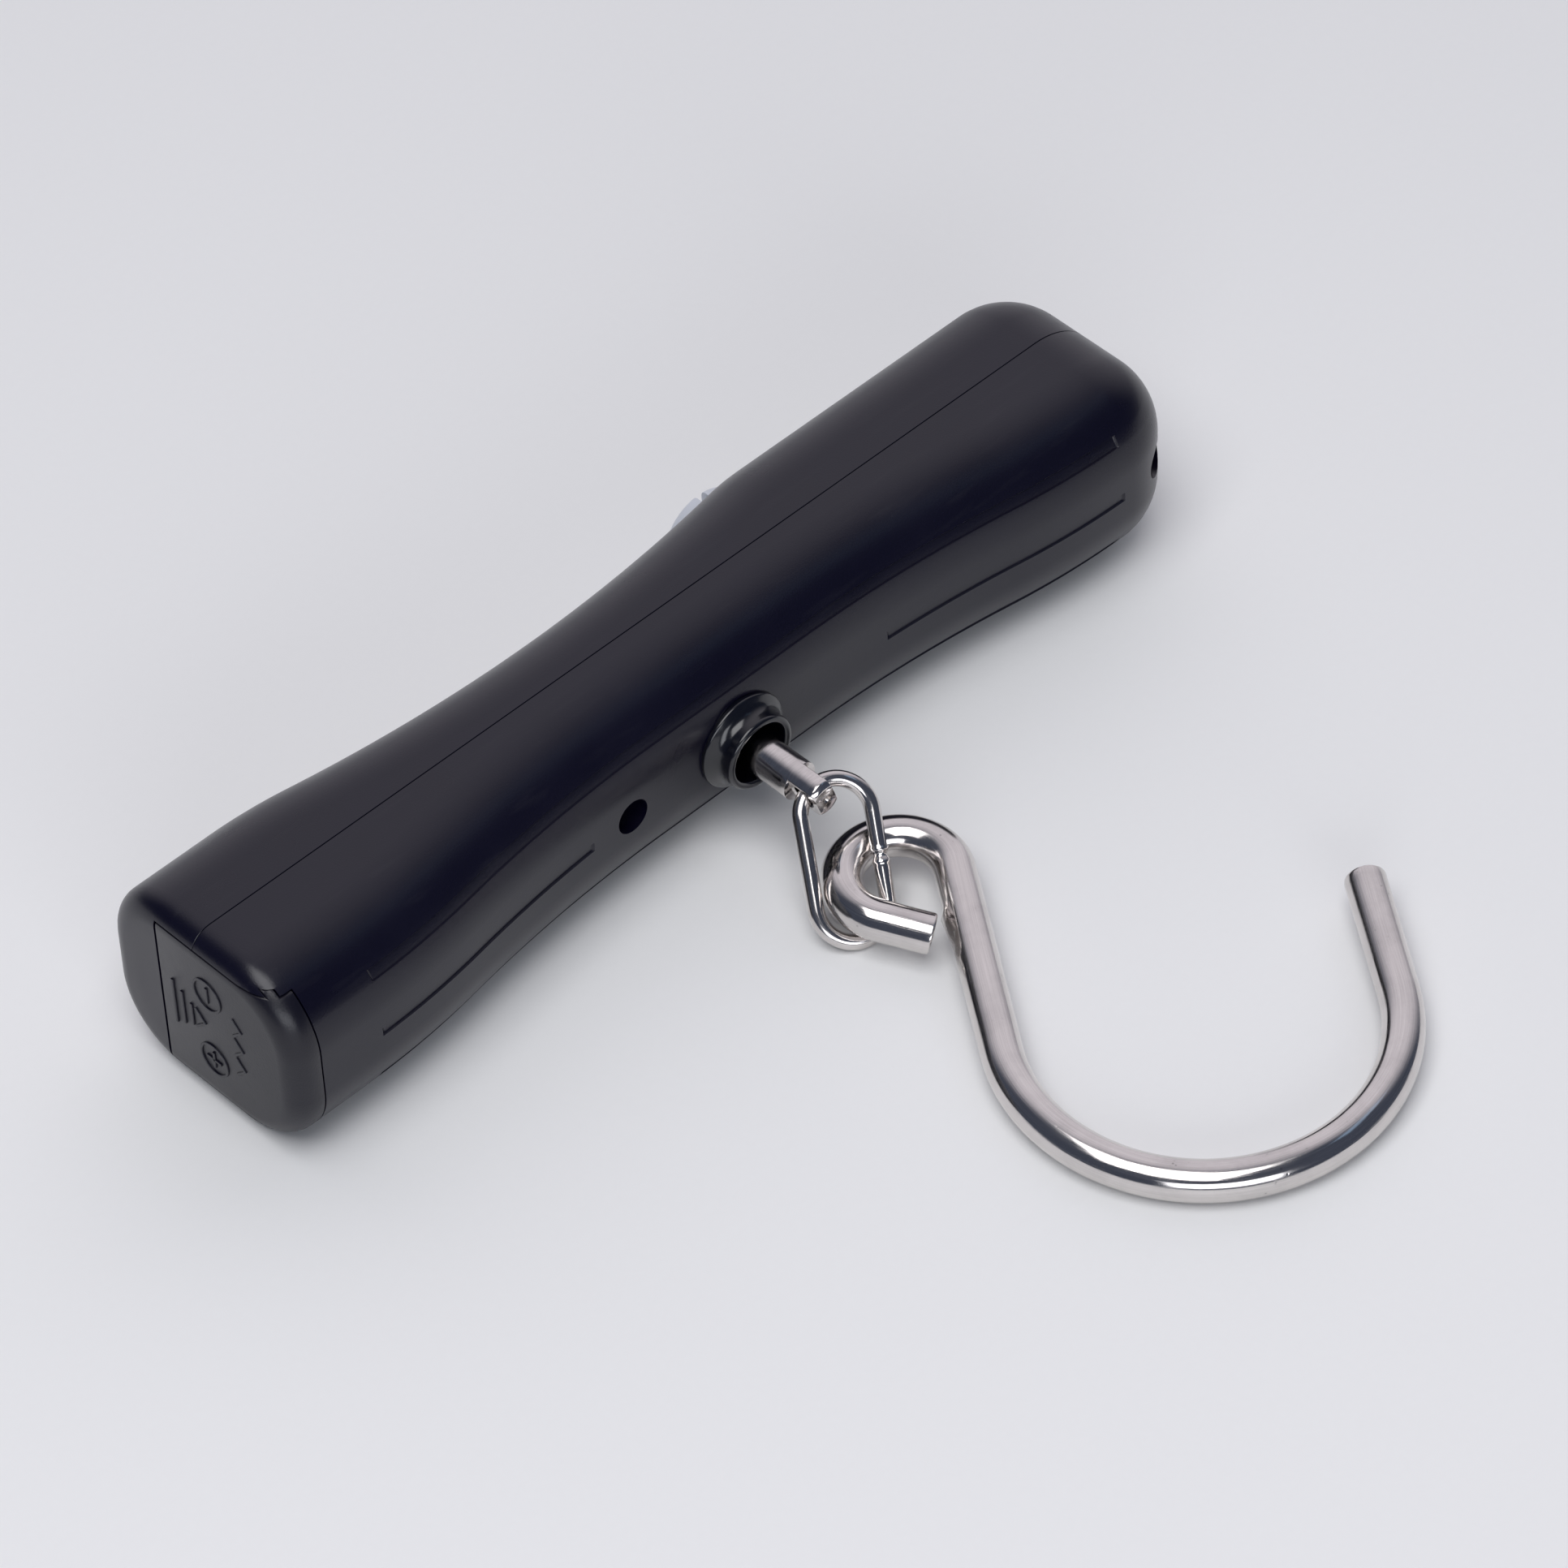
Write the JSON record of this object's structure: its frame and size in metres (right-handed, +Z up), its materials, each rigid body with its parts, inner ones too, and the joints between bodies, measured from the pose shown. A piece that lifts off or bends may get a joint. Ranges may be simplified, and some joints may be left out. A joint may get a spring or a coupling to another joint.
{
  "type": "digital fish scale",
  "caption": "Hand-held digital hanging scale: T handle with a display and two keys, a sliding cell door, and a round-wire hook on a swivelling pull rod.",
  "frame": {"origin": "on the plane the scale lies on, under the axis of the pull rod, in the plane that holds the cells and the load cell", "axes": "+X along the handle from the battery end to the display end, +Y to the side with the display, so the hook hangs towards -Y, +Z up from the side it lies on"},
  "size_m": [0.1435, 0.1165, 0.0264],
  "materials": {
    "shell_black": "satin moulded",
    "collar_gloss": "gloss",
    "door_black": "fine texture",
    "contact_nickel": "nickel plate",
    "cell_jacket": "shrink sleeve",
    "beam_aluminium": "milled",
    "gauge_foil": "film",
    "plain_steel": "zinc plate",
    "washer_brass": "turned",
    "plated_steel": "nickel plate over drawn wire",
    "board_green": "solder mask",
    "chip_black": "moulded",
    "lcd_glass": "polished",
    "rubber_grey": "silicone",
    "lens_clear": "polished",
    "key_grey": "smooth"
  },
  "bodies": {
    "housing": {"display_shell": "shell_black", "hook_shell": "shell_black", "collar_ring": "collar_gloss", "battery_upper": "cell_jacket", "battery_lower": "cell_jacket", "battery_bulkhead": "shell_black", "positive_contact": "contact_nickel", "negative_spring": "contact_nickel", "load_cell": "beam_aluminium", "strain_gauges": "gauge_foil", "anchor_plate": "plain_steel", "load_cell_screws": "plain_steel", "thrust_washer": "washer_brass", "circuit_board": "board_green", "controller_chip": "chip_black", "lcd_panel": "lcd_glass", "lcd_connector": "rubber_grey", "display_lens": "lens_clear", "key_mat": "rubber_grey", "board_screws": "plain_steel", "shell_screws": "plain_steel"},
    "door": {"battery_door": "door_black", "door_contact": "contact_nickel"},
    "rod": {"pull_rod": "plated_steel", "rod_nut": "plated_steel", "rod_clip": "plain_steel"},
    "link": {"link": "plated_steel"},
    "hook": {"hook": "plated_steel"},
    "tare_key": {"tare_key": "key_grey"},
    "unit_key": {"unit_key": "key_grey"}
  },
  "joints": [
    {"name": "door_slide", "type": "slide", "parent": "housing", "child": "door", "axis": [0, -1, 0], "range_m": [0, 0.018]},
    {"name": "rod_swivel", "type": "hinge", "parent": "housing", "child": "rod", "pos_m": [0, 0, 0.0132], "axis": [0, 1, 0], "continuous": true},
    {"name": "link_swing", "type": "hinge", "parent": "rod", "child": "link", "pos_m": [0, -0.0219, 0.0132], "axis": [0.9537, 0, 0.3007], "range_deg": [-90, 35]},
    {"name": "hook_swing", "type": "hinge", "parent": "link", "child": "hook", "pos_m": [0.0024, -0.0336, 0.0049], "axis": [-0.0266, -0.0394, 0.9989], "range_deg": [-25, 40]},
    {"name": "tare_key_press", "type": "slide", "parent": "housing", "child": "tare_key", "axis": [0, -1, 0], "range_m": [0, 0.0005], "stiffness_N_per_m": 1500, "springref_m": -0.0003},
    {"name": "unit_key_press", "type": "slide", "parent": "housing", "child": "unit_key", "axis": [0, -1, 0], "range_m": [0, 0.0005], "stiffness_N_per_m": 1500, "springref_m": -0.0003}
  ]
}
